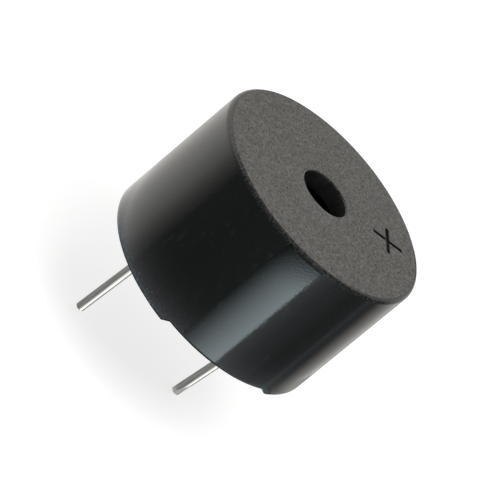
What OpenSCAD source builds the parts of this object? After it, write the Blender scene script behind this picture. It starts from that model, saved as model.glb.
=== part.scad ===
// Round piezo buzzer that drives itself, for soldering to a board by two pins.
// Millimetres. +Z is up along the case axis, and z = 0 is the seating plane under the feet.
// The pins stand on the X axis, the positive one on the +X side.

/* [Case] */
// Outside diameter at the base
case_d = 13.2; // [12:0.1:16]
// Height from the seating plane to the top face
case_h = 8.15; // [7:0.05:12]
// Draft angle of the outside wall, which narrows towards the top
draft_angle = 0.5; // [0:0.05:2]
// Thickness of the wall at the rim
rim_wall = 0.8; // [0.6:0.05:1]
// Thickness of the top
top_t = 1; // [0.7:0.05:1.5]
// Radius of the edge around the top face
top_edge_r = 0.24; // [0.05:0.01:0.5]
// Radius of the outer edge under the feet
foot_edge_r = 0.19; // [0.05:0.01:0.3]
// Lead-in chamfer inside the rim
rim_chamfer = 0.15; // [0.05:0.05:0.3]
// Width of the shoulder that the base plate seats on
shoulder_w = 0.25; // [0.15:0.05:0.4]
// Width of the ledge that the brass disc seats on
ledge_w = 0.75; // [0.4:0.05:1]
// Radius of the inside corner under the top
cavity_fillet_r = 0.4; // [0.1:0.05:0.8]

/* [Sound hole] */
// Diameter of the hole
sound_hole_d = 2.85; // [1:0.05:4]
// Radius of its lip
sound_hole_lip_r = 0.08; // [0.02:0.01:0.3]

/* [Feet] */
// Height of the feet, which is the depth of the gaps between them
foot_h = 0.31; // [0.2:0.01:0.5]
// Angle that each of the two gaps takes up at its top
gap_angle = 58; // [20:1:120]
// Slope of the gaps' ends, away from upright
gap_slope = 50; // [0:1:60]
// Radius of the outer edge of the rim in the gaps
gap_edge_r = 0.19; // [0.02:0.01:0.2]

/* [Polarity mark] */
// Distance of the middle of the mark from the edge of the top face
mark_inset = 2.2; // [1.6:0.1:3]
// Length of each of its two strokes
mark_size = 2; // [1:0.1:2.4]
// Width of the strokes
mark_stroke = 0.25; // [0.2:0.05:0.6]
// Depth that the strokes are sunk
mark_depth = 0.12; // [0.05:0.01:0.3]

/* [Base] */
// Height of the plate's underside above the seating plane
base_recess = 0.7; // [0.5:0.05:1]
// Thickness of the plate
plate_t = 0.9; // [0.6:0.05:1.2]
// Leg of the resin bead between the plate and the case
seal_leg = 0.35; // [0.1:0.05:0.45]

/* [Pins] */
// Distance of the middle of each pin from the outside of the base, which sets the pitch of the pins
pin_inset = 2.8; // [2.2:0.05:3.2]
// Diameter of the wire
pin_d = 0.5; // [0.4:0.05:0.6]
// Reach of the positive pin below the seating plane
positive_reach = 6.4; // [4:0.05:12]
// Reach of the negative pin below the seating plane
negative_reach = 5.6; // [4:0.05:12]
// Straight run of both pins below the seating plane, before the bend
pin_straight = 1.5; // [0.8:0.1:2.5]
// Lean of the positive pin past its bend, towards -X
positive_lean = 6.2; // [0.5:0.1:12]
// Lean of the negative pin past its bend, towards -X
negative_lean = 3.5; // [0.5:0.1:12]
// Chamfer at the cut end
pin_tip = 0.06; // [0.02:0.01:0.15]
// Diameter of the thicker shank, inside the base
shank_d = 0.9; // [0.85:0.05:1.2]
// Height of the shank above the board
shank_stand = 0.3; // [0.15:0.05:0.5]

/* [Piezo element] */
// Thickness of the brass disc
brass_t = 0.15; // [0.1:0.01:0.3]
// Bare margin of the brass disc around the ceramic disc
brass_margin = 1.7; // [1.5:0.1:2.2]
// Thickness of the ceramic disc
ceramic_t = 0.2; // [0.1:0.01:0.3]
// Thickness of the silver films
film_t = 0.03; // [0.02:0.01:0.05]
// Bare margin between the films and the edge of the ceramic
film_margin = 0.3; // [0.1:0.05:0.5]
// Bare line between the two films
film_split = 0.25; // [0.1:0.05:0.4]
// Width of the feedback film
tongue_w = 1.2; // [1:0.1:1.6]
// Length of the feedback film, in from the edge
tongue_l = 1.9; // [1.2:0.1:2.2]
// Reach of the silicone bead in under the brass disc
adhesive_w = 0.35; // [0.2:0.05:0.5]
// Height of the silicone bead under the brass disc
adhesive_h = 0.4; // [0.2:0.05:0.6]

/* [Board] */
// Thickness of the board
board_t = 0.6; // [0.4:0.05:1]
// Length of the transistor
transistor_l = 2.9; // [2.5:0.1:3.2]
// Width of the transistor
transistor_w = 1.3; // [1.1:0.1:1.5]
// Height of the transistor above the board
transistor_h = 1; // [0.8:0.05:1.2]
// Height of the transistor's underside above the board
transistor_stand = 0.1; // [0.05:0.01:0.15]
// Distance of the transistor from the X axis
transistor_y = 1.8; // [1.6:0.1:2]
// Width of a leg
leg_w = 0.4; // [0.3:0.05:0.5]
// Thickness of a leg
leg_t = 0.12; // [0.08:0.01:0.15]
// Reach of a leg out from the side
leg_reach = 0.55; // [0.45:0.05:0.65]
// Distance from the side to the bend of a leg
leg_knee = 0.15; // [0.1:0.01:0.25]
// Distance between the two legs on one side, centre to centre
leg_pitch = 1.9; // [1.6:0.1:2.1]
// Length of a resistor
resistor_l = 1.6; // [1.4:0.1:1.8]
// Width of a resistor
resistor_w = 0.8; // [0.6:0.05:1]
// Height of a resistor
resistor_h = 0.45; // [0.35:0.05:0.6]
// Length of a resistor's end cap
resistor_cap = 0.3; // [0.2:0.05:0.4]
// Distance between the resistors, centre to centre
resistor_step = 1.2; // [1.1:0.1:1.6]
// Distance of the resistors from the X axis
resistor_y = 1.7; // [1.5:0.1:2]

/* [Leads and solder] */
// Diameter of the lead wires
lead_d = 0.3; // [0.2:0.05:0.4]
// Radius of the bends in the leads, at the middle of the wire
lead_bend_r = 0.4; // [0.3:0.05:0.55]
// Distance of the leads' pads from the edge of the board
pad_inset = 1.1; // [0.9:0.1:1.4]
// Direction of the drive lead's pad on the board
drive_pad_angle = 42; // [35:1:48]
// Direction of the feedback lead's pad on the board
feedback_pad_angle = 225; // [218:1:232]
// Direction of the ground lead's pad on the board
ground_pad_angle = 140; // [130:1:150]
// Distance of the drive lead's dot from the middle of the disc
drive_dot_r = 1.7; // [1.4:0.1:2]
// Direction of the drive lead's dot on the disc
drive_dot_angle = -10; // [-20:1:0]
// Direction of the ground lead's dot on the disc
ground_dot_angle = 118; // [112:1:122]
// Width of the solder around a lead
lead_solder_w = 0.25; // [0.15:0.05:0.35]
// Height of the solder around a lead
lead_solder_h = 0.25; // [0.1:0.05:0.3]
// Width of the solder around a pin's shank
pin_solder_w = 0.35; // [0.2:0.05:0.4]

/* [Clearances] */
// Gap around the base plate
plate_clearance = 0.03; // [0.01:0.01:0.1]
// Gap around a pin's shank in the plate and the board
shank_clearance = 0.02; // [0.01:0.01:0.08]
// Gap around the board
board_clearance = 0.15; // [0.05:0.01:0.25]
// Gap around the brass disc
disc_clearance = 0.15; // [0.05:0.01:0.25]
// Clear height between the transistor and the piezo element
element_clearance = 0.65; // [0.5:0.05:1]

/* [Hidden] */
$fn = 96;
// Steps in a rounded corner or a solder fillet
corner_steps = 6;
// Overshoot of a cutting shape past the face that it cuts
cut_over = 0.5;
// Swelling of a wire at its bends
bend_swell = 0.01;
// Gap between the two straight runs of a pin's wire and the middle of its bend
bend_inset = 0.04;
// Lap of the straight runs of a lead into its bends
bend_lap = 0.04;

// Radii, from the outside in, and the pins' distance from the axis
case_r = case_d / 2;
top_r = case_r - case_h * tan(draft_angle);
seat_r = case_r - rim_wall;
bore_r = seat_r - shoulder_w;
cavity_r = bore_r - ledge_w;
plate_r = seat_r - plate_clearance;
board_r = bore_r - board_clearance;
brass_r = bore_r - disc_clearance;
ceramic_r = brass_r - brass_margin;
film_r = ceramic_r - film_margin;
adhesive_r = brass_r - adhesive_w;
sound_hole_r = sound_hole_d / 2;
pin_x = case_r - pin_inset;
pin_r = pin_d / 2;
shank_r = shank_d / 2;
lead_r = lead_d / 2;

// Levels, from the seating plane up
plate_z = base_recess;
board_z = plate_z + plate_t;
board_top = board_z + board_t;
film_z = board_top + transistor_h + element_clearance;
ceramic_z = film_z + film_t;
brass_z = ceramic_z + ceramic_t;
ledge_z = brass_z + brass_t;
cavity_z = case_h - top_t;

// Ends of the three leads, on the board and on the piezo element
pad_r = board_r - pad_inset;
tongue_y = -(film_r - tongue_l / 2);
ground_dot_r = (ceramic_r + adhesive_r) / 2;
drive_pad = polar(pad_r, drive_pad_angle);
feedback_pad = polar(pad_r, feedback_pad_angle);
ground_pad = polar(pad_r, ground_pad_angle);
drive_dot = polar(drive_dot_r, drive_dot_angle);
feedback_dot = [0, tongue_y];
ground_dot = polar(ground_dot_r, ground_dot_angle);

// Point at a distance and a direction from the axis
function polar(r, angle) = [r * cos(angle), r * sin(angle)];

// Points along an arc of a circle
function arc(centre, r, from, to) = [
  for (i = [0 : corner_steps]) centre + polar(r, from + (to - from) * i / corner_steps)
];

// Points along a hollow fillet, from the top of the wall out to the foot
function hollow(wall_r, width, height) = [
  for (i = [0 : corner_steps])
    [wall_r + width * (1 - cos(90 * i / corner_steps)), height * (1 - sin(90 * i / corner_steps))]
];

// Ring of solder that rises against a round wall
module solder_ring(wall_r, width, height) {
  rotate_extrude()
    polygon(concat([[wall_r, 0]], hollow(wall_r, width, height)));
}

// Half section of the case: outside, top, hole, cavity, ledge, shoulder and rim
module case_section() {
  polygon(concat(
    arc([case_r - foot_edge_r, foot_edge_r], foot_edge_r, -90, 0),
    arc([top_r - top_edge_r, case_h - top_edge_r], top_edge_r, 0, 90),
    arc([sound_hole_r + sound_hole_lip_r, case_h - sound_hole_lip_r], sound_hole_lip_r, 90, 180),
    [[sound_hole_r, cavity_z]],
    arc([cavity_r - cavity_fillet_r, cavity_z - cavity_fillet_r], cavity_fillet_r, 90, 0),
    [[cavity_r, ledge_z], [bore_r, ledge_z], [bore_r, board_z], [seat_r, board_z]],
    [[seat_r, rim_chamfer], [seat_r + rim_chamfer, 0]]
  ));
}

// Section of the space under the rim in a gap, with the rim's outer edge rounded
module gap_section() {
  cut_r = case_r + cut_over;
  edge_z = foot_h + gap_edge_r;
  polygon(concat(
    [[bore_r, -cut_over], [cut_r, -cut_over], [cut_r, edge_z]],
    arc([case_r - gap_edge_r, edge_z], gap_edge_r, 0, -90),
    [[bore_r, foot_h]]
  ));
}

// Half space on the inner side of a gap's sloping end
module gap_end() {
  rotate([0, 0, gap_angle / 2])
    translate([0, 0, foot_h])
      rotate([gap_slope, 0, 0])
        translate([0, -case_d, 0])
          cube(2 * case_d, center = true);
}

// Cut that leaves a gap between the feet
module foot_gap(angle) {
  rotate([0, 0, angle])
    intersection() {
      rotate_extrude()
        gap_section();
      gap_end();
      mirror([0, 1, 0])
        gap_end();
    }
}

// Plus sign sunk into the top face over the positive pin
module mark_cut() {
  translate([top_r - mark_inset, 0, case_h - mark_depth])
    linear_extrude(mark_depth + cut_over)
      union() {
        square([mark_size, mark_stroke], center = true);
        square([mark_stroke, mark_size], center = true);
      }
}

module case() {
  color("#232423")
    difference() {
      rotate_extrude()
        case_section();
      foot_gap(90);
      foot_gap(-90);
      mark_cut();
    }
}

// Round holes at both pins, through a plate of the given thickness
module pin_holes(z, thickness) {
  for (side = [-1, 1])
    translate([side * pin_x, 0, z - cut_over])
      cylinder(h = thickness + 2 * cut_over, r = shank_r + shank_clearance);
}

module base_plate() {
  color("#2b2b2a")
    difference() {
      translate([0, 0, plate_z])
        cylinder(h = plate_t, r = plate_r);
      pin_holes(plate_z, plate_t);
    }
}

// Resin in the corner between the plate and the case
module base_seal() {
  color("#191918")
    rotate_extrude()
      polygon(concat(
        [[seat_r, plate_z]],
        arc([seat_r - seal_leg, plate_z - seal_leg], seal_leg, 90, 0)
      ));
}

// One pin: shank in the base, straight run, bend towards -X and leaning run with a cut end
module pin(x, reach, lean) {
  run = (reach - pin_straight) / cos(lean);
  color("#c9c8c2")
    union() {
      translate([x, 0, plate_z])
        cylinder(h = board_top + shank_stand - plate_z, r = shank_r);
      translate([x, 0, bend_inset - pin_straight])
        cylinder(h = pin_straight - bend_inset + plate_z, r = pin_r);
      translate([x, 0, -pin_straight])
        sphere(pin_r + bend_swell);
      translate([x, 0, -pin_straight])
        rotate([0, lean, 0])
          translate([0, 0, -run])
            union() {
              cylinder(h = pin_tip, r1 = pin_r - pin_tip, r2 = pin_r);
              translate([0, 0, pin_tip])
                cylinder(h = run - pin_tip - bend_inset, r = pin_r);
            }
    }
}

module positive_pin() {
  pin(pin_x, positive_reach, positive_lean);
}

module negative_pin() {
  pin(-pin_x, negative_reach, negative_lean);
}

module pin_solder() {
  color("#b4b5b3")
    for (side = [-1, 1])
      translate([side * pin_x, 0, board_top])
        solder_ring(shank_r, pin_solder_w, shank_stand);
}

module brass_disc() {
  color("#c8a24a")
    translate([0, 0, brass_z])
      cylinder(h = brass_t, r = brass_r);
}

module ceramic_disc() {
  color("#d9d2bd")
    translate([0, 0, ceramic_z])
      cylinder(h = ceramic_t, r = ceramic_r);
}

// Outline of the feedback film, a tongue in from the edge, grown by a margin
module tongue(margin) {
  translate([-tongue_w / 2 - margin, -film_r - cut_over])
    square([tongue_w + 2 * margin, tongue_l + cut_over + margin]);
}

module main_electrode() {
  color("#d8d8d4")
    translate([0, 0, film_z])
      linear_extrude(film_t)
        difference() {
          circle(film_r);
          tongue(film_split);
        }
}

module feedback_electrode() {
  color("#d8d8d4")
    translate([0, 0, film_z])
      linear_extrude(film_t)
        intersection() {
          circle(film_r);
          tongue(0);
        }
}

// Silicone bead around the edge of the brass disc, against the bore and the ledge
module disc_adhesive() {
  color("#e6e3da")
    rotate_extrude()
      polygon([
        [adhesive_r, brass_z],
        [bore_r, brass_z - adhesive_h],
        [bore_r, ledge_z],
        [brass_r, ledge_z],
        [brass_r, brass_z]
      ]);
}

module circuit_board() {
  color("#2f6b3a")
    difference() {
      translate([0, 0, board_z])
        cylinder(h = board_t, r = board_r);
      pin_holes(board_z, board_t);
    }
}

module transistor() {
  body_h = transistor_h - transistor_stand;
  color("#1d1d1f")
    translate([-transistor_l / 2, transistor_y - transistor_w / 2, board_top + transistor_stand])
      cube([transistor_l, transistor_w, body_h]);
}

// One leg in the form of a step, from the side of the body down to the board
module transistor_leg() {
  leg_z = (transistor_stand + transistor_h) / 2;
  translate([-leg_w / 2, 0, 0])
    rotate([90, 0, 90])
      linear_extrude(leg_w)
        polygon([
          [0, leg_z],
          [leg_knee, leg_z],
          [leg_knee, 0],
          [leg_reach, 0],
          [leg_reach, leg_t],
          [leg_knee + leg_t, leg_t],
          [leg_knee + leg_t, leg_z + leg_t],
          [0, leg_z + leg_t]
        ]);
}

module transistor_legs() {
  color("#c2c3c1")
    translate([0, transistor_y, board_top])
      union() {
        translate([0, transistor_w / 2, 0])
          transistor_leg();
        for (side = [-1, 1])
          translate([side * leg_pitch / 2, -transistor_w / 2, 0])
            rotate([0, 0, 180])
              transistor_leg();
      }
}

// Ceramic middle of a resistor, at a place in the row
module resistor(place) {
  body_l = resistor_l - 2 * resistor_cap;
  color("#2a2c33")
    translate([place * resistor_step - resistor_w / 2, -resistor_y - body_l / 2, board_top])
      cube([resistor_w, body_l, resistor_h]);
}

module load_resistor() {
  resistor(1);
}

module bias_resistor() {
  resistor(0);
}

module feedback_resistor() {
  resistor(-1);
}

module resistor_ends() {
  first_y = -resistor_y - resistor_l / 2;
  color("#c2c3c1")
    for (place = [-1 : 1], end_y = [first_y, first_y + resistor_l - resistor_cap])
      translate([place * resistor_step - resistor_w / 2, end_y, board_top])
        cube([resistor_w, resistor_cap, resistor_h]);
}

// Quarter bend of a lead in the XZ plane, from straight up to along +X
module lead_bend() {
  translate([lead_bend_r, 0, 0])
    rotate([90, 0, 180])
      rotate_extrude(angle = 90)
        translate([lead_bend_r, 0])
          circle(lead_r + bend_swell);
}

// Lead that rises from a pad, runs level half way up and rises to a dot at top_z
module lead(pad, dot, top_z) {
  way = dot - pad;
  span = norm(way);
  level = (board_top + film_z) / 2;
  translate([pad[0], pad[1], 0])
    rotate([0, 0, atan2(way[1], way[0])])
      union() {
        translate([0, 0, board_top])
          cylinder(h = level - lead_bend_r + bend_lap - board_top, r = lead_r);
        translate([0, 0, level - lead_bend_r])
          lead_bend();
        translate([lead_bend_r - bend_lap, 0, level])
          rotate([0, 90, 0])
            cylinder(h = span - 2 * (lead_bend_r - bend_lap), r = lead_r);
        translate([span, 0, level + lead_bend_r])
          rotate([0, 180, 0])
            lead_bend();
        translate([span, 0, level + lead_bend_r - bend_lap])
          cylinder(h = top_z - level - lead_bend_r + bend_lap, r = lead_r);
      }
}

module drive_lead() {
  color("#b5552f")
    lead(drive_pad, drive_dot, film_z);
}

module feedback_lead() {
  color("#b5552f")
    lead(feedback_pad, feedback_dot, film_z);
}

module ground_lead() {
  color("#b5552f")
    lead(ground_pad, ground_dot, brass_z);
}

module lead_solder() {
  solder_ring(lead_r, lead_solder_w, lead_solder_h);
}

module board_solder() {
  color("#b4b5b3")
    for (pad = [drive_pad, feedback_pad, ground_pad])
      translate([pad[0], pad[1], board_top])
        lead_solder();
}

module disc_solder() {
  color("#b4b5b3")
    for (dot = [[drive_dot, film_z], [feedback_dot, film_z], [ground_dot, brass_z]])
      translate([dot[0][0], dot[0][1], dot[1]])
        mirror([0, 0, 1])
          lead_solder();
}

case();
base_plate();
base_seal();
positive_pin();
negative_pin();
pin_solder();
brass_disc();
ceramic_disc();
main_electrode();
feedback_electrode();
disc_adhesive();
circuit_board();
transistor();
transistor_legs();
load_resistor();
bias_resistor();
feedback_resistor();
resistor_ends();
drive_lead();
feedback_lead();
ground_lead();
disc_solder();
board_solder();
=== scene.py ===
import math

import bmesh
import bpy
from mathutils import Matrix, Vector, noise


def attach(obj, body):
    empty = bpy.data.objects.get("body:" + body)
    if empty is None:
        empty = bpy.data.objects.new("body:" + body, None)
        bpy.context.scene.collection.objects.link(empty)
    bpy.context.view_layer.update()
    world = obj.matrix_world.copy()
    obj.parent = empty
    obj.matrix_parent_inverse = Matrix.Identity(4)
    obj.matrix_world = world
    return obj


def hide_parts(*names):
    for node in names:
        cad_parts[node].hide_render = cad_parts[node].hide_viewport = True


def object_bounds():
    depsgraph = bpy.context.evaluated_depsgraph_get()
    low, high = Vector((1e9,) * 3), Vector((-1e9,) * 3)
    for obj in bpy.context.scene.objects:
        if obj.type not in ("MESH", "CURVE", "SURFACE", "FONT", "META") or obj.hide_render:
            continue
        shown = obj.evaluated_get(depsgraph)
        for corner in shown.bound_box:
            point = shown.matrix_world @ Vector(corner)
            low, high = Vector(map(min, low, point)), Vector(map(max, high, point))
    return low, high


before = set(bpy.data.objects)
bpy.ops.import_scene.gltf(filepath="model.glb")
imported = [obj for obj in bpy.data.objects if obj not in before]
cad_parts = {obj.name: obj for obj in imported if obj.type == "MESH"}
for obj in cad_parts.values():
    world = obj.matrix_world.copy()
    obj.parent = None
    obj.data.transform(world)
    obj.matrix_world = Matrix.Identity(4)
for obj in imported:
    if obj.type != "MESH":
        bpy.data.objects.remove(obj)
cadLow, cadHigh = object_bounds()
print("frame loaded:", len(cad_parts), "nodes")

# what the dictionaries hold is in mm and degrees, unless a note says otherwise
mm = 0.001
origin = Vector((0, 0, 0))
closeBy = 0.0005 * mm  # points as near as this count as one
sharpAngle = 40  # degrees between faces, past which an edge is shaded sharp


# the linear colour that a shader takes, from sRGB hex
def toLinear(hexCode):
    channels = [int(hexCode[i:i + 2], 16) / 255 for i in (1, 3, 5)]
    linear = [c / 12.92 if c <= 0.04045 else ((c + 0.055) / 1.055) ** 2.4 for c in channels]
    return (*linear, 1)


# a pattern's scale for Object coordinates, from the size of its grain
def grainScale(size):
    return 1 / (size * mm)


# adds a node with its settings; an input is a value, or another node's output to link
def addNode(tree, kind, inputs=None, **settings):
    node = tree.nodes.new(kind)
    for name, value in settings.items():
        setattr(node, name, value)
    for socket, value in (inputs or {}).items():
        if isinstance(value, bpy.types.NodeSocket):
            tree.links.new(value, node.inputs[socket])
        else:
            node.inputs[socket].default_value = value
    return node


def newMaterial(name):
    material = bpy.data.materials.new(name)
    material.use_nodes = True
    material.node_tree.nodes.clear()
    return material, material.node_tree


absIor = 1.5
noiseReach = (0.3, 0.7)  # the levels between which a noise mostly stays

# ABS moulded against polished steel: deep black with hard reflections, a few fine drag marks along the
# draw of the mould, flecks where the rim is scuffed, and a little of the top's pale grain, painted sheen that
# fades downwards, on the edge around it
polish = {
    "colour": "#0b0d0d", "rough": (0.06, 0.11), "line": (0.12, 0.12, 5), "peel": 0.11, "peelDepth": 0.0022,
    "drag": "#232524", "dragSize": (0.17, 0.17, 0.7), "dragFrom": (0.62, 0.9), "wornRough": 0.2,
    "fleck": "#5c686b", "fleckSize": 0.11, "fleckFrom": (0.6, 0.7), "fleckRise": 0.7, "fleckElsewhere": 0.025,
    "edge": "#6d6b66", "edgeFrom": (0.42, 0.72), "edgeDepth": 0.25, "edgeMost": 0.36,
}


def makePolishedAbs():
    material, tree = newMaterial("polishedAbs")
    place = addNode(tree, "ShaderNodeTexCoord").outputs["Object"]
    height = addNode(tree, "ShaderNodeSeparateXYZ", {"Vector": place}).outputs["Z"]
    drawn = addNode(tree, "ShaderNodeMapping", {
        "Vector": place, "Scale": [grainScale(size) for size in polish["line"]],
    }).outputs["Vector"]
    lines = addNode(tree, "ShaderNodeTexNoise", {"Vector": drawn, "Scale": 1, "Detail": 2}).outputs["Fac"]
    cleanRough = addNode(tree, "ShaderNodeMapRange", {
        "Value": lines, "From Min": noiseReach[0], "From Max": noiseReach[1],
        "To Min": polish["rough"][0], "To Max": polish["rough"][1],
    }).outputs["Result"]

    dragged = addNode(tree, "ShaderNodeMapping", {
        "Vector": place, "Scale": [grainScale(size) for size in polish["dragSize"]],
    }).outputs["Vector"]
    streak = addNode(tree, "ShaderNodeTexNoise", {"Vector": dragged, "Scale": 1, "Detail": 1}).outputs["Fac"]
    drag = addNode(tree, "ShaderNodeMapRange", {
        "Value": streak, "From Min": polish["dragFrom"][0], "From Max": polish["dragFrom"][1],
    }).outputs["Result"]

    speck = addNode(tree, "ShaderNodeTexNoise", {
        "Vector": place, "Scale": grainScale(polish["fleckSize"]), "Detail": 1,
    }).outputs["Fac"]
    fleck = addNode(tree, "ShaderNodeMapRange", {
        "Value": speck, "From Min": polish["fleckFrom"][0], "From Max": polish["fleckFrom"][1],
    }).outputs["Result"]
    nearRim = addNode(tree, "ShaderNodeMapRange", {
        "Value": height, "From Min": 0, "From Max": polish["fleckRise"] * mm,
        "To Min": 1, "To Max": polish["fleckElsewhere"],
    }).outputs["Result"]
    scuff = addNode(tree, "ShaderNodeMath", {0: fleck, 1: nearRim}, operation="MULTIPLY").outputs["Value"]

    # painted sheen: the top's pale grain, carried onto the rounded top edge and fading downwards
    grain = addNode(tree, "ShaderNodeMapRange", {
        "Value": speck, "From Min": polish["edgeFrom"][0], "From Max": polish["edgeFrom"][1],
    }).outputs["Result"]
    nearTop = addNode(tree, "ShaderNodeMapRange", {
        "Value": height, "From Min": cadHigh.z - polish["edgeDepth"] * mm, "From Max": cadHigh.z,
        "To Min": 0, "To Max": polish["edgeMost"],
    }).outputs["Result"]
    edge = addNode(tree, "ShaderNodeMath", {0: grain, 1: nearTop}, operation="MULTIPLY").outputs["Value"]

    tone = addNode(tree, "ShaderNodeMix", {
        "Factor": drag, "A": toLinear(polish["colour"]), "B": toLinear(polish["drag"]),
    }, data_type="RGBA").outputs["Result"]
    tone = addNode(tree, "ShaderNodeMix", {
        "Factor": scuff, "A": tone, "B": toLinear(polish["fleck"]),
    }, data_type="RGBA").outputs["Result"]
    tone = addNode(tree, "ShaderNodeMix", {
        "Factor": edge, "A": tone, "B": toLinear(polish["edge"]),
    }, data_type="RGBA").outputs["Result"]
    worn = addNode(tree, "ShaderNodeMath", {0: drag, 1: scuff}, operation="MAXIMUM").outputs["Value"]
    worn = addNode(tree, "ShaderNodeMath", {0: worn, 1: edge}, operation="MAXIMUM").outputs["Value"]
    rough = addNode(tree, "ShaderNodeMix", {
        "Factor": worn, "A": cleanRough, "B": polish["wornRough"],
    }, data_type="FLOAT").outputs["Result"]
    peel = addNode(tree, "ShaderNodeTexNoise", {
        "Vector": place, "Scale": grainScale(polish["peel"]), "Detail": 1,
    }).outputs["Fac"]
    bump = addNode(tree, "ShaderNodeBump", {
        "Height": peel, "Distance": polish["peelDepth"] * mm, "Strength": 1,
    }).outputs["Normal"]
    shader = addNode(tree, "ShaderNodeBsdfPrincipled", {
        "Base Color": tone, "Roughness": rough, "Normal": bump, "IOR": absIor,
    })
    addNode(tree, "ShaderNodeOutputMaterial", {"Surface": shader.outputs["BSDF"]})
    return material


# ABS moulded against spark-eroded steel: the same black, greyed by a grain of painted shade in its pits and
# painted sheen on its peaks; the real pits are about half as wide, too fine to show, so they are drawn
# coarser
eroded = {
    "pitShade": "#1a1918", "peakSheen": "#74726d", "spread": (0.32, 0.68),
    "grain": 0.13, "fine": 0.07, "fineShare": 0.4, "depth": 0.02, "rough": 0.62,
}


def makeErodedAbs():
    material, tree = newMaterial("erodedAbs")
    place = addNode(tree, "ShaderNodeTexCoord").outputs["Object"]
    blotch = addNode(tree, "ShaderNodeTexNoise", {
        "Vector": place, "Scale": grainScale(eroded["grain"]), "Detail": 2, "Roughness": 0.6,
    }).outputs["Fac"]
    fine = addNode(tree, "ShaderNodeTexNoise", {
        "Vector": place, "Scale": grainScale(eroded["fine"]), "Detail": 1,
    }).outputs["Fac"]
    grain = addNode(tree, "ShaderNodeMix", {
        "Factor": eroded["fineShare"], "A": blotch, "B": fine,
    }, data_type="FLOAT").outputs["Result"]
    spread = addNode(tree, "ShaderNodeMapRange", {
        "Value": grain, "From Min": eroded["spread"][0], "From Max": eroded["spread"][1],
    }).outputs["Result"]
    # the grain's tone: painted shade in the pits and painted sheen on the peaks, which greys the black top
    tone = addNode(tree, "ShaderNodeMix", {
        "Factor": spread, "A": toLinear(eroded["pitShade"]), "B": toLinear(eroded["peakSheen"]),
    }, data_type="RGBA").outputs["Result"]
    bump = addNode(tree, "ShaderNodeBump", {
        "Height": grain, "Distance": eroded["depth"] * mm, "Strength": 1,
    }).outputs["Normal"]
    shader = addNode(tree, "ShaderNodeBsdfPrincipled", {
        "Base Color": tone, "Roughness": eroded["rough"], "Normal": bump, "IOR": absIor,
    })
    addNode(tree, "ShaderNodeOutputMaterial", {"Surface": shader.outputs["BSDF"]})
    return material


# the other finishes: two tones and two levels of roughness, mixed by a grain with a size along X, Y and Z
def makeFinish(name, look):
    material, tree = newMaterial(name)
    place = addNode(tree, "ShaderNodeTexCoord").outputs["Object"]
    scaled = addNode(tree, "ShaderNodeMapping", {
        "Vector": place, "Scale": [grainScale(size) for size in look["grain"]],
    }).outputs["Vector"]
    grain = addNode(tree, "ShaderNodeTexNoise", {"Vector": scaled, "Scale": 1, "Detail": 3}).outputs["Fac"]
    spread = addNode(tree, "ShaderNodeMapRange", {
        "Value": grain, "From Min": noiseReach[0], "From Max": noiseReach[1],
    }).outputs["Result"]
    tone = addNode(tree, "ShaderNodeMix", {
        "Factor": spread, "A": toLinear(look["dark"]), "B": toLinear(look["pale"]),
    }, data_type="RGBA").outputs["Result"]
    rough = addNode(tree, "ShaderNodeMapRange", {
        "Value": spread, "To Min": look["rough"][0], "To Max": look["rough"][1],
    }).outputs["Result"]
    bump = addNode(tree, "ShaderNodeBump", {
        "Height": grain, "Distance": look["depth"] * mm, "Strength": 1,
    }).outputs["Normal"]
    shader = addNode(tree, "ShaderNodeBsdfPrincipled", {
        "Base Color": tone, "Roughness": rough, "Normal": bump, **look["shader"],
    })
    addNode(tree, "ShaderNodeOutputMaterial", {"Surface": shader.outputs["BSDF"]})
    return material


polishedAbs = makePolishedAbs()
erodedAbs = makeErodedAbs()

# ABS moulded against plain ground steel: satin black, for the inside and the underside
satinAbs = makeFinish("satinAbs", {
    "dark": "#121212", "pale": "#1e1e1d", "grain": (0.25, 0.25, 0.25), "rough": (0.38, 0.48),
    "depth": 0.003, "shader": {"IOR": absIor},
})
# epoxy that ran into the corner and cured: glossy black, a little wavy
curedEpoxy = makeFinish("curedEpoxy", {
    "dark": "#0a0a0a", "pale": "#141312", "grain": (0.9, 0.9, 0.9), "rough": (0.1, 0.2),
    "depth": 0.02, "shader": {"IOR": 1.55},
})
# steel wire, drawn and hot-dipped in tin: bright, with soft lines along its length
tinnedSteel = makeFinish("tinnedSteel", {
    "dark": "#b3b2ad", "pale": "#d8d7d3", "grain": (0.06, 0.06, 3), "rough": (0.12, 0.24),
    "depth": 0.0006, "shader": {"Metallic": 1},
})

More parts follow.
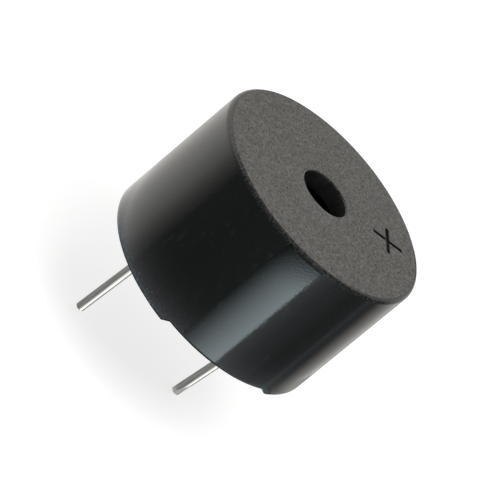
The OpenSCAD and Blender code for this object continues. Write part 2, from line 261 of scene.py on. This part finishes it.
# what the case hides: CAD solids as they are, each in the finish of the real thing
innerFinishes = {
    # solder that has flowed and set: satin grey with a faint mottle
    "setSolder": {
        "dark": "#8f918f", "pale": "#c3c5c3", "grain": (0.12, 0.12, 0.12), "rough": (0.25, 0.42),
        "depth": 0.004, "shader": {"Metallic": 1}, "nodes": ["pin_solder", "disc_solder", "board_solder"],
    },
    # brass strip, rolled: yellow metal with fine lines along the rolling
    "rolledBrass": {
        "dark": "#a9853a", "pale": "#d0ad5c", "grain": (3, 0.05, 0.05), "rough": (0.26, 0.4),
        "depth": 0.0008, "shader": {"Metallic": 1}, "nodes": ["brass_disc"],
    },
    # lead zirconate titanate, pressed and fired: matt cream with a sugary grain
    "firedCeramic": {
        "dark": "#c9bd9c", "pale": "#e0d8c0", "grain": (0.1, 0.1, 0.1), "rough": (0.65, 0.8),
        "depth": 0.003, "shader": {"IOR": 1.6}, "nodes": ["ceramic_disc"],
    },
    # silver paste, screen-printed and fired: dull white metal, mottled where the mesh of the screen was
    "firedSilver": {
        "dark": "#c6c5bf", "pale": "#e6e5e0", "grain": (0.14, 0.14, 0.14), "rough": (0.38, 0.55),
        "depth": 0.002, "shader": {"Metallic": 1}, "nodes": ["main_electrode", "feedback_electrode"],
    },
    # silicone sealant, cured in the open: milky, soft sheen, slightly lumpy
    "curedSilicone": {
        "dark": "#d5d1c4", "pale": "#ebe8df", "grain": (0.5, 0.5, 0.5), "rough": (0.35, 0.5),
        "depth": 0.02, "shader": {"IOR": 1.41}, "nodes": ["disc_adhesive"],
    },
    # glass-fibre laminate under green solder mask: the glass shows through as a faint mottle
    "maskedLaminate": {
        "dark": "#1c5430", "pale": "#2f7343", "grain": (0.45, 0.45, 0.45), "rough": (0.28, 0.4),
        "depth": 0.004, "shader": {"IOR": 1.5}, "nodes": ["circuit_board"],
    },
    # epoxy moulding compound, transfer-moulded: matt black with a fine filler grain
    "filledEpoxy": {
        "dark": "#131315", "pale": "#252528", "grain": (0.05, 0.05, 0.05), "rough": (0.55, 0.7),
        "depth": 0.003, "shader": {"IOR": 1.55}, "nodes": ["transistor"],
    },
    # tin, plated: pale satin metal
    "platedTin": {
        "dark": "#b0b1af", "pale": "#d3d4d2", "grain": (0.08, 0.08, 0.08), "rough": (0.28, 0.42),
        "depth": 0.002, "shader": {"Metallic": 1}, "nodes": ["transistor_legs", "resistor_ends"],
    },
    # glaze over a printed resistor: glossy blue-black, a little uneven
    "resistorGlaze": {
        "dark": "#14151b", "pale": "#262831", "grain": (0.3, 0.3, 0.3), "rough": (0.12, 0.22),
        "depth": 0.006, "shader": {"IOR": 1.5},
        "nodes": ["load_resistor", "bias_resistor", "feedback_resistor"],
    },
    # copper wire, drawn and enamelled: red-brown metal under a clear coat
    "enamelledCopper": {
        "dark": "#7e3013", "pale": "#ab5126", "grain": (0.2, 0.2, 0.6), "rough": (0.2, 0.32),
        "depth": 0.001, "shader": {"Metallic": 1, "Coat Weight": 0.8},
        "nodes": ["drive_lead", "feedback_lead", "ground_lead"],
    },
}
for finishName, look in innerFinishes.items():
    finish = makeFinish(finishName, look)
    for node in look["nodes"]:
        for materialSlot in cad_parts[node].material_slots:
            materialSlot.material = finish
print("materials made")


# a finished bmesh becomes an object in the scene
def addObject(bm, name, *materials):
    mesh = bpy.data.meshes.new(name)
    bm.to_mesh(mesh)
    bm.free()
    for material in materials:
        mesh.materials.append(material)
    thing = bpy.data.objects.new(name, mesh)
    bpy.context.scene.collection.objects.link(thing)
    return thing


# the same for a piece, which rides on the part's one body in place of a CAD node
def finishPiece(bm, name, materials, node):
    piece = addObject(bm, name, *materials)
    piece.data.shade_smooth()
    piece.data.set_sharp_from_angle(angle=math.radians(sharpAngle))
    weighted = piece.modifiers.new("flatFaces", "WEIGHTED_NORMAL")
    weighted.keep_sharp = True
    weighted.thresh = 0  # the faces are tiny, and all count as equal otherwise
    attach(piece, "root")
    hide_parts(node)


# a section of (radius, height), turned about the upright axis
def turnSection(bm, section, start, angle, steps, closed=False):
    points = [bm.verts.new((radius * mm, 0, height * mm)) for radius, height in section]
    ends = points[1:] + points[:1] if closed else points[1:]
    edges = [bm.edges.new(pair) for pair in zip(points, ends)]
    bmesh.ops.rotate(bm, verts=points, cent=origin, matrix=Matrix.Rotation(math.radians(start), 3, "Z"))
    bmesh.ops.spin(bm, geom=points + edges, cent=origin, axis=(0, 0, 1), angle=math.radians(angle),
                   steps=steps, use_merge=angle == 360)


# joins what meets, caps what is open and turns the faces outwards
def closeShell(bm):
    bmesh.ops.remove_doubles(bm, verts=bm.verts, dist=closeBy)
    bmesh.ops.holes_fill(bm, edges=[e for e in bm.edges if e.is_boundary], sides=0)
    bmesh.ops.recalc_face_normals(bm, faces=bm.faces)


# edges of the circle at a radius and a height
def ringEdges(bm, radius, height):
    near = 0.004 * mm
    return [
        e for e in bm.edges
        if all(abs(v.co.xy.length - radius * mm) < near and abs(v.co.z - height * mm) < near for v in e.verts)
    ]


def roundEdges(bm, edges, radius, segments):
    bmesh.ops.bevel(bm, geom=edges, offset=radius * mm, segments=segments, profile=0.5,
                    affect="EDGES", material=-1, clamp_overlap=True)


case = {
    "baseRadius": 6.6, "height": 8.15, "draft": 0.5, "topEdge": 0.24, "rimEdge": 0.19, "edgeSteps": 5,
    "holeRadius": 1.425, "holeLip": 0.08, "lipSteps": 3, "topThickness": 1,
    "cavityRadius": 4.8, "cavityCorner": 0.4, "cornerSteps": 6, "ledgeHeight": 4.23,
    "boreRadius": 5.55, "shoulderHeight": 1.6, "seatRadius": 5.8, "rimChamfer": 0.15,
    "footHeight": 0.31, "footSteps": 44, "gapAngle": 58, "gapSteps": 21, "gapSlope": 50,
    "markInset": 2.2, "markSize": 2, "markStroke": 0.25, "markDepth": 0.12, "markDraft": 0.02,
    "markRing": (3, 5.7),  # the ring of the top that the mark's cuts stay in
}


# below the gaps' tops the feet draw in along the rim, so that their ends slope
def slopeEnds(bm, halfAngle):
    run = math.tan(math.radians(case["gapSlope"]))
    for vert in bm.verts:
        depth = case["footHeight"] * mm - vert.co.z
        if depth > closeBy:
            middle = 0 if vert.co.x > 0 else math.pi
            across = math.remainder(math.atan2(vert.co.y, vert.co.x) - middle, 2 * math.pi)
            drawn = math.asin(depth * run / vert.co.xy.length) / halfAngle
            vert.co.rotate(Matrix.Rotation(-across * drawn, 3, "Z"))


# the plus sign: planes cut its outline into the top, and the faces inside sink
def sinkMark(bm, place):
    inner, outer = (r * mm for r in case["markRing"])
    centre = Vector((place, 0, case["height"])) * mm
    halfLength, halfStroke = case["markSize"] * mm / 2, case["markStroke"] * mm / 2
    onPlane = 1e-9  # metres

    def nearMark():
        return [
            f for f in bm.faces
            if abs(f.calc_center_median().z - centre.z) < closeBy
            and inner < f.calc_center_median().xy.length < outer
            and (f.calc_center_median() - centre).length < case["markSize"] * mm
        ]

    def inside(face):
        x, y = (abs(c) for c in (face.calc_center_median() - centre).xy)
        return (x < halfLength and y < halfStroke) or (x < halfStroke and y < halfLength)

    for axis in (Vector((1, 0, 0)), Vector((0, 1, 0))):
        for offset in (-halfLength, -halfStroke, halfStroke, halfLength):
            faces = nearMark()
            edges = dict.fromkeys(e for f in faces for e in f.edges)
            verts = dict.fromkeys(v for f in faces for v in f.verts)
            bmesh.ops.bisect_plane(bm, geom=[*faces, *edges, *verts], dist=onPlane,
                                   plane_co=centre + axis * offset, plane_no=axis)
    sunk = [f for f in nearMark() if inside(f)]
    bmesh.ops.inset_region(bm, faces=sunk, use_boundary=True, use_even_offset=True,
                           thickness=case["markDraft"] * mm, depth=-case["markDepth"] * mm)


def makeCase():
    bm = bmesh.new()
    narrowing = math.tan(math.radians(case["draft"]))
    topRadius = case["baseRadius"] - narrowing * case["height"]
    gapRadius = case["baseRadius"] - narrowing * case["footHeight"]
    cavityTop = case["height"] - case["topThickness"]
    footAngle = 180 - case["gapAngle"]
    upper = [
        (gapRadius, case["footHeight"]),
        (topRadius, case["height"]),
        (case["markRing"][1], case["height"]),
        (case["markRing"][0], case["height"]),
        (case["holeRadius"], case["height"]),
        (case["holeRadius"], cavityTop),
        (case["cavityRadius"], cavityTop),
        (case["cavityRadius"], case["ledgeHeight"]),
        (case["boreRadius"], case["ledgeHeight"]),
        (case["boreRadius"], case["shoulderHeight"]),
        (case["seatRadius"], case["shoulderHeight"]),
        (case["seatRadius"], case["footHeight"]),
    ]
    foot = [
        (case["seatRadius"], case["rimChamfer"]),
        (case["seatRadius"] + case["rimChamfer"], 0),
        (case["baseRadius"], 0),
    ]
    for side in (0, 180):
        turnSection(bm, upper + foot, side - footAngle / 2, footAngle, case["footSteps"], closed=True)
        turnSection(bm, upper, side + footAngle / 2, case["gapAngle"], case["gapSteps"], closed=True)
    closeShell(bm)
    slopeEnds(bm, math.radians(footAngle / 2))

    slack = 0.01
    rimTurn = math.radians(30)  # the facets of the round wall turn far less
    rim = [
        e for e in bm.edges
        if e.is_convex and e.calc_face_angle(0) > rimTurn
        and max(v.co.z for v in e.verts) < (case["footHeight"] + slack) * mm
        and min(v.co.xy.length for v in e.verts) > (gapRadius - slack) * mm
    ]
    roundEdges(bm, rim, case["rimEdge"], case["edgeSteps"])
    roundEdges(bm, ringEdges(bm, topRadius, case["height"]), case["topEdge"], case["edgeSteps"])
    roundEdges(bm, ringEdges(bm, case["holeRadius"], case["height"]), case["holeLip"], case["lipSteps"])
    roundEdges(bm, ringEdges(bm, case["cavityRadius"], cavityTop), case["cavityCorner"], case["cornerSteps"])
    sinkMark(bm, topRadius - case["markInset"])

    finishes = [polishedAbs, erodedAbs, satinAbs]
    lipRadius = case["holeRadius"] + case["holeLip"]
    flatDepth = 0.005  # the top's own faces lie no deeper
    for face in bm.faces:
        middle = face.calc_center_median() / mm
        radius, depth = middle.xy.length, case["height"] - middle.z
        onTop = depth < flatDepth and lipRadius < radius < topRadius - case["topEdge"]
        onLip = depth < case["holeLip"] and radius < lipRadius
        if onTop:
            face.material_index = finishes.index(erodedAbs)
        elif radius < case["seatRadius"] + case["rimChamfer"] and not onLip:
            face.material_index = finishes.index(satinAbs)
    finishPiece(bm, "caseShell", finishes, "case")


makeCase()
print("case made")

pin = {
    "place": 3.8, "wireRadius": 0.25, "shankRadius": 0.45, "shankTop": 2.5, "shankFoot": 0.7, "straight": 1.5,
    "bendRadius": 8, "bendSteps": 6, "tip": 0.06, "sides": 32,
    "long": {"side": 1, "reach": 6.4, "lean": 6.2}, "short": {"side": -1, "reach": 5.6, "lean": 3.5},
}


# pulls an open ring of edges along a vector and gives back the new ring
def pullRing(bm, ring, way):
    new = bmesh.ops.extrude_edge_only(bm, edges=ring)["geom"]
    bmesh.ops.translate(bm, verts=[v for v in new if isinstance(v, bmesh.types.BMVert)], vec=way * mm)
    return [e for e in new if isinstance(e, bmesh.types.BMEdge) and e.is_boundary]


# a ring's points, each of them once
def ringVerts(ring):
    return list(dict.fromkeys(v for e in ring for v in e.verts))


def scaleRing(bm, ring, factor):
    verts = ringVerts(ring)
    middle = sum((v.co for v in verts), Vector()) / len(verts)
    bmesh.ops.scale(bm, verts=verts, vec=(factor,) * 3, space=Matrix.Translation(-middle))


# a pin from its shank down to its tip
def makePin(name, node, form):
    lean = math.radians(form["lean"])
    place = Vector((form["side"] * pin["place"], 0, 0))
    bend = pin["bendRadius"] * math.tan(lean / 2)  # run that the bend takes on both sides of its corner
    down = Vector((0, 0, -1))
    leaning = Matrix.Rotation(lean, 3, "Y") @ down
    bm = bmesh.new()
    bmesh.ops.create_circle(bm, cap_ends=False, segments=pin["sides"], radius=pin["shankRadius"] * mm,
                            matrix=Matrix.Translation((place + Vector((0, 0, pin["shankTop"]))) * mm))
    ring = pullRing(bm, bm.edges[:], down * (pin["shankTop"] - pin["shankFoot"]))
    ring = pullRing(bm, ring, down * 0)  # the shoulder, flat
    scaleRing(bm, ring, pin["wireRadius"] / pin["shankRadius"])
    ring = pullRing(bm, ring, down * (pin["shankFoot"] + pin["straight"] - bend))
    turn = place + Vector((-pin["bendRadius"], 0, bend - pin["straight"]))
    last = bmesh.ops.spin(bm, geom=ringVerts(ring) + ring, cent=turn * mm, axis=(0, 1, 0), angle=lean,
                          steps=pin["bendSteps"])["geom_last"]
    ring = [e for e in last if isinstance(e, bmesh.types.BMEdge)]
    run = (form["reach"] - pin["straight"]) / math.cos(lean) - bend
    ring = pullRing(bm, ring, leaning * (run - pin["tip"]))
    ring = pullRing(bm, ring, leaning * pin["tip"])
    scaleRing(bm, ring, 1 - pin["tip"] / pin["wireRadius"])
    closeShell(bm)
    finishPiece(bm, name, [tinnedSteel], node)


makePin("longPin", "positive_pin", pin["long"])
makePin("shortPin", "negative_pin", pin["short"])
print("pins made")

plate = {
    "radius": 5.77, "low": 0.7, "high": 1.6, "edge": 0.06, "edgeSteps": 3, "sides": 120,
    "holeRadius": 0.47, "holeSides": 40,
}


def makePlate():
    bm = bmesh.new()
    low = Vector((0, 0, plate["low"]))
    rings = [(low, plate["radius"], plate["sides"])]
    for side in (-1, 1):
        hole = low + Vector((side * pin["place"], 0, 0))
        rings.append((hole, plate["holeRadius"], plate["holeSides"]))
    for place, radius, sides in rings:
        bmesh.ops.create_circle(bm, cap_ends=False, segments=sides, radius=radius * mm,
                                matrix=Matrix.Translation(place * mm))
    bmesh.ops.triangle_fill(bm, use_beauty=True, use_dissolve=False, edges=bm.edges[:])
    raised = bmesh.ops.extrude_face_region(bm, geom=bm.faces[:])["geom"]
    bmesh.ops.translate(bm, verts=[v for v in raised if isinstance(v, bmesh.types.BMVert)],
                        vec=(0, 0, (plate["high"] - plate["low"]) * mm))
    bmesh.ops.recalc_face_normals(bm, faces=bm.faces)
    roundEdges(bm, ringEdges(bm, plate["radius"], plate["low"]), plate["edge"], plate["edgeSteps"])
    finishPiece(bm, "basePlate", [satinAbs], "base_plate")


# the bead's hollow face is an arc about a point in the open corner; it wavers a little, as resin does
bead = {"leg": 0.35, "arcSteps": 8, "turns": 144, "waver": 0.03, "waverRun": 1.6}


def makeBead():
    bm = bmesh.new()
    wall, top, leg = case["seatRadius"] * mm, plate["low"] * mm, bead["leg"] * mm
    corner = bm.verts.new((wall, 0, top))
    start = bm.verts.new((wall - leg, 0, top))
    last = bmesh.ops.spin(bm, geom=[start], cent=start.co - Vector((0, 0, leg)), axis=(0, 1, 0),
                          angle=math.radians(90), steps=bead["arcSteps"])["geom_last"]
    end = next(v for v in last if isinstance(v, bmesh.types.BMVert))
    bm.edges.new((corner, start))
    bm.edges.new((end, corner))
    bmesh.ops.spin(bm, geom=bm.verts[:] + bm.edges[:], cent=origin, axis=(0, 0, 1), angle=math.radians(360),
                   steps=bead["turns"], use_merge=True)
    bmesh.ops.recalc_face_normals(bm, faces=bm.faces)
    for vert in bm.verts:
        onPlate = abs(vert.co.z - top) < closeBy
        onWall = vert.co.xy.length > wall - closeBy
        if not onPlate and not onWall:
            away = Vector((-vert.co.x, -vert.co.y, -vert.co.xy.length)).normalized()  # from the corner
            vert.co += away * noise.noise(vert.co / (bead["waverRun"] * mm)) * bead["waver"] * mm
    finishPiece(bm, "resinBead", [curedEpoxy], "base_seal")


makePlate()
makeBead()
print("base made")

floor = {"size": 3, "colour": "#c8c8c7", "rough": 0.9, "glow": 0.62}  # size in metres


# matt white card: it shows white to the camera and in gloss, keeps the shadow and is clear from below
def makeFloor():
    material, tree = newMaterial("whiteCard")
    path = addNode(tree, "ShaderNodeLightPath")
    seen = addNode(tree, "ShaderNodeMath", {
        0: path.outputs["Is Camera Ray"], 1: path.outputs["Is Glossy Ray"],
    }, operation="MAXIMUM").outputs["Value"]
    seen = addNode(tree, "ShaderNodeMath", {
        0: seen, 1: path.outputs["Is Transmission Ray"],
    }, operation="MAXIMUM").outputs["Value"]
    glow = addNode(tree, "ShaderNodeMath", {0: seen, 1: floor["glow"]}, operation="MULTIPLY").outputs["Value"]
    shader = addNode(tree, "ShaderNodeBsdfPrincipled", {
        "Base Color": toLinear(floor["colour"]), "Roughness": floor["rough"], "Specular IOR Level": 0,
        "Emission Color": (1, 1, 1, 1), "Emission Strength": glow,
    })
    clear = addNode(tree, "ShaderNodeBsdfTransparent")
    under = addNode(tree, "ShaderNodeNewGeometry").outputs["Backfacing"]
    mixed = addNode(tree, "ShaderNodeMixShader", {
        0: under, 1: shader.outputs["BSDF"], 2: clear.outputs["BSDF"],
    })
    addNode(tree, "ShaderNodeOutputMaterial", {"Surface": mixed.outputs["Shader"]})
    bm = bmesh.new()
    bmesh.ops.create_grid(bm, x_segments=1, y_segments=1, size=floor["size"] / 2,
                          matrix=Matrix.Translation((0, 0, cadLow.z)))
    addObject(bm, "floor", material)


makeFloor()

sky = {"horizon": 1, "zenith": 0.35}


def makeSky():
    world = bpy.data.worlds.new("lightTent")
    bpy.context.scene.world = world
    world.use_nodes = True
    tree = world.node_tree
    tree.nodes.clear()
    way = addNode(tree, "ShaderNodeTexCoord").outputs["Generated"]
    height = addNode(tree, "ShaderNodeSeparateXYZ", {"Vector": way}).outputs["Z"]
    level = addNode(tree, "ShaderNodeMapRange", {
        "Value": height, "To Min": sky["horizon"], "To Max": sky["zenith"],
    }).outputs["Result"]
    light = addNode(tree, "ShaderNodeBackground", {"Color": (1, 1, 1, 1), "Strength": level})
    addNode(tree, "ShaderNodeOutputWorld", {"Surface": light.outputs["Background"]})


makeSky()

key = {"azimuth": -100, "elevation": 60, "distance": 0.16, "size": 0.08, "level": 0.45}  # lengths in metres


def onDome(azimuth, elevation, distance):
    a, e = math.radians(azimuth), math.radians(elevation)
    return Vector((math.cos(a) * math.cos(e), math.sin(a) * math.cos(e), math.sin(e))) * distance


def makeKey():
    lamp = bpy.data.lights.new("keyBox", "AREA")
    lamp.size = key["size"]
    # the power at which white that faces the lamp shows at this level
    lamp.energy = key["level"] * math.pi ** 2 * key["distance"] ** 2
    rig = bpy.data.objects.new("keyBox", lamp)
    rig.location = onDome(key["azimuth"], key["elevation"], key["distance"])
    rig.rotation_euler = (-rig.location).to_track_quat("-Z", "Y").to_euler()
    rig.visible_glossy = False  # the cards make the reflections
    bpy.context.scene.collection.objects.link(rig)


makeKey()
print("floor and light made")

# reflection cards, seen only in gloss: each is a section of (radius, height above the floor), turned about
# an upright axis, with stops of degrees around it and level; lift is what the pale floor adds at a card's
# foot, from its first stop to its last, and fade is where a card's light sinks upwards, and to what share
cardRing, underReach = 18, 10.5  # radius of the upright cards, and of the card under the part
aboveFloor = 0.05
cardSteps = 48
upright = ((cardRing, 0), (cardRing, 66))
onFloor = ((underReach, aboveFloor), (cardRing, aboveFloor))
cards = {
    "leftPanel": {
        "section": ((cardRing, 0), (cardRing, 36)), "tint": "#fffdf8", "lift": (0.1, 1.2),
        "stops": [(80, 0.35), (98, 0.85), (118, 1.18), (150, 1.38), (165, 1.15), (177, 0.6), (189, 0.18)],
    },
    "frontFlag": {
        "section": upright, "tint": "#f0faf6", "lift": (1.2, 2.2),
        "stops": [(189, 0.18), (215, 0.16), (240, 0.18), (252, 0.2)],
    },
    "stripBox": {
        "section": upright, "tint": "#e8faff", "lift": (0.6, 0.6), "fade": (6.8, 10, 0.08),
        "stops": [(252, 0.2), (257, 0.85), (262, 1.7), (268, 2.8), (275, 3.8), (284.5, 5)],
    },
    "rightFlag": {
        "section": upright, "tint": "#eef7fa", "lift": (1.1, 0.15),
        "stops": [(284.5, 0.9), (289, 0.7), (298, 0.42), (318, 0.17), (332, 0.17), (336, 0.3), (340, 0.17),
                  (346, 0.2)],
    },
    "rightPanel": {
        "section": ((cardRing, 0), (cardRing, 20)), "tint": "#fffdf8", "lift": (0.15, 0.2),
        "stops": [(346, 0.2), (351, 0.4), (358, 0.61), (366, 0.75), (373, 0.83), (381, 0.82), (389, 0.5),
                  (400, 0.18)],
    },
    # on the floor under the part: painted shade, dark under the part's front, which the lower half of its
    # rounded rim shows, and painted light, pale under its far side
    "underCard": {
        "section": ((0.1, aboveFloor), (underReach, aboveFloor)), "tint": "#e8faff",
        "stops": [(-30, 0.03), (-10, 0.3), (50, 0.3), (75, 0.03), (330, 0.03)],
    },
    "leftFloor": {
        "section": onFloor, "tint": "#fffdf8",
        "stops": [(80, 0.6), (102, 1.05), (125, 1.4), (150, 1.45)],
    },
    "frontFloor": {
        "section": onFloor, "tint": "#dcf5ff",
        "stops": [(150, 1.45), (175, 1.3), (330, 1.1), (341, 0.3)],
    },
    "rightFloor": {
        "section": onFloor, "tint": "#fffdf8",
        "stops": [(341, 0.3), (358, 0.7), (368, 0.8), (381, 0.5), (400, 0.3)],
    },
}
# the same around each pin, close to it: dark on the left, white in front to the right, dark on the far right
pinRing = 1.3
pinCards = {
    "aroundPin": {
        "section": ((pinRing, 0), (pinRing, 6.1)), "tint": "#ffffff",
        "stops": [(68, 0.58), (120, 0.36), (225, 0.28), (246, 0.34), (268, 1.2), (288, 2.1), (312, 2),
                  (332, 1.1), (348, 0.3), (365, 0.12), (428, 0.12)],
    },
    "underPin": {
        "section": ((0.05, 0.06), (pinRing, 0.06)), "tint": "#ffffff",
        "stops": [(0, 0.6), (360, 0.6)],
    },
}
paleFloor = {"tint": "#f6f8ff", "reach": 6, "power": 6}


def makeCardGlow(name, form, first, last):
    material, tree = newMaterial(name)
    place = addNode(tree, "ShaderNodeTexCoord").outputs["Object"]
    height = addNode(tree, "ShaderNodeSeparateXYZ", {"Vector": place}).outputs["Z"]
    turned = addNode(tree, "ShaderNodeMapping", {
        "Vector": place, "Rotation": (0, 0, math.radians(180 - first)),
    }).outputs["Vector"]
    around = addNode(tree, "ShaderNodeTexGradient", {"Vector": turned}, gradient_type="RADIAL").outputs["Fac"]
    share = addNode(tree, "ShaderNodeMapRange", {
        "Value": around, "From Min": 0, "From Max": (last - first) / 360,
    }).outputs["Result"]

    # the ramp holds levels up to 1, so it carries shares of the brightest stop
    most = max(level for _, level in form["stops"])
    ramp = addNode(tree, "ShaderNodeValToRGB", {"Fac": share})
    ends = ramp.color_ramp.elements
    middle = [ends.new((angle - first) / (last - first)) for angle, _ in form["stops"][1:-1]]
    for stop, (_, level) in zip([ends[0], *middle, ends[-1]], form["stops"]):
        stop.color = (*[level / most] * 3, 1)
    level = addNode(tree, "ShaderNodeMath", {
        0: ramp.outputs["Color"], 1: most,
    }, operation="MULTIPLY").outputs["Value"]
    if "fade" in form:
        fadeLow, fadeHigh, fadeShare = form["fade"]
        fade = addNode(tree, "ShaderNodeMapRange", {
            "Value": height, "From Min": fadeLow * mm, "From Max": fadeHigh * mm,
            "To Min": 1, "To Max": fadeShare,
        }, interpolation_type="SMOOTHSTEP").outputs["Result"]
        level = addNode(tree, "ShaderNodeMath", {0: level, 1: fade}, operation="MULTIPLY").outputs["Value"]
    glow = addNode(tree, "ShaderNodeEmission", {
        "Color": toLinear(form["tint"]), "Strength": level,
    }).outputs["Emission"]
    if "lift" in form:
        nearFloor = addNode(tree, "ShaderNodeMapRange", {
            "Value": height, "From Min": 0, "From Max": paleFloor["reach"] * mm, "To Min": 1, "To Max": 0,
        }).outputs["Result"]
        rising = addNode(tree, "ShaderNodeMath", {
            0: nearFloor, 1: paleFloor["power"],
        }, operation="POWER").outputs["Value"]
        liftLevel = addNode(tree, "ShaderNodeMapRange", {
            "Value": share, "To Min": form["lift"][0], "To Max": form["lift"][1],
        }).outputs["Result"]
        lift = addNode(tree, "ShaderNodeMath", {
            0: rising, 1: liftLevel,
        }, operation="MULTIPLY").outputs["Value"]
        fromFloor = addNode(tree, "ShaderNodeEmission", {
            "Color": toLinear(paleFloor["tint"]), "Strength": lift,
        }).outputs["Emission"]
        glow = addNode(tree, "ShaderNodeAddShader", {0: glow, 1: fromFloor}).outputs["Shader"]
    addNode(tree, "ShaderNodeOutputMaterial", {"Surface": glow})
    return material


def makeCard(name, form, centre):
    first, last = form["stops"][0][0], form["stops"][-1][0]
    bm = bmesh.new()
    turnSection(bm, form["section"], first, last - first, cardSteps)
    card = addObject(bm, name, makeCardGlow(name, form, first, last))
    card.location = centre
    card.visible_camera = card.visible_diffuse = card.visible_shadow = card.visible_transmission = False


for cardName, form in cards.items():
    makeCard(cardName, form, Vector((0, 0, cadLow.z)))
for side in (-1, 1):
    for cardName, form in pinCards.items():
        makeCard(cardName, form, Vector((side * pin["place"] * mm, 0, cadLow.z)))
print("cards made")

camera = {
    "lens": 221.8, "place": (-66.03, -121.62, 71.20), "azimuth": -118.396, "elevation": 26.248, "roll": 50.11,
    "clip": (0.01, 10),  # metres
}


def makeCamera():
    lensData = bpy.data.cameras.new("camera")
    lensData.lens = camera["lens"]
    lensData.clip_start, lensData.clip_end = camera["clip"]
    rig = bpy.data.objects.new("camera", lensData)
    back = onDome(camera["azimuth"], camera["elevation"], 1)
    level = back.to_track_quat("Z", "Y").to_matrix()
    rolled = level @ Matrix.Rotation(math.radians(camera["roll"]), 3, "Z")
    rig.matrix_world = Matrix.Translation(Vector(camera["place"]) * mm) @ rolled.to_4x4()
    bpy.context.scene.collection.objects.link(rig)
    bpy.context.scene.camera = rig


makeCamera()
bpy.context.scene.view_settings.view_transform = "Standard"
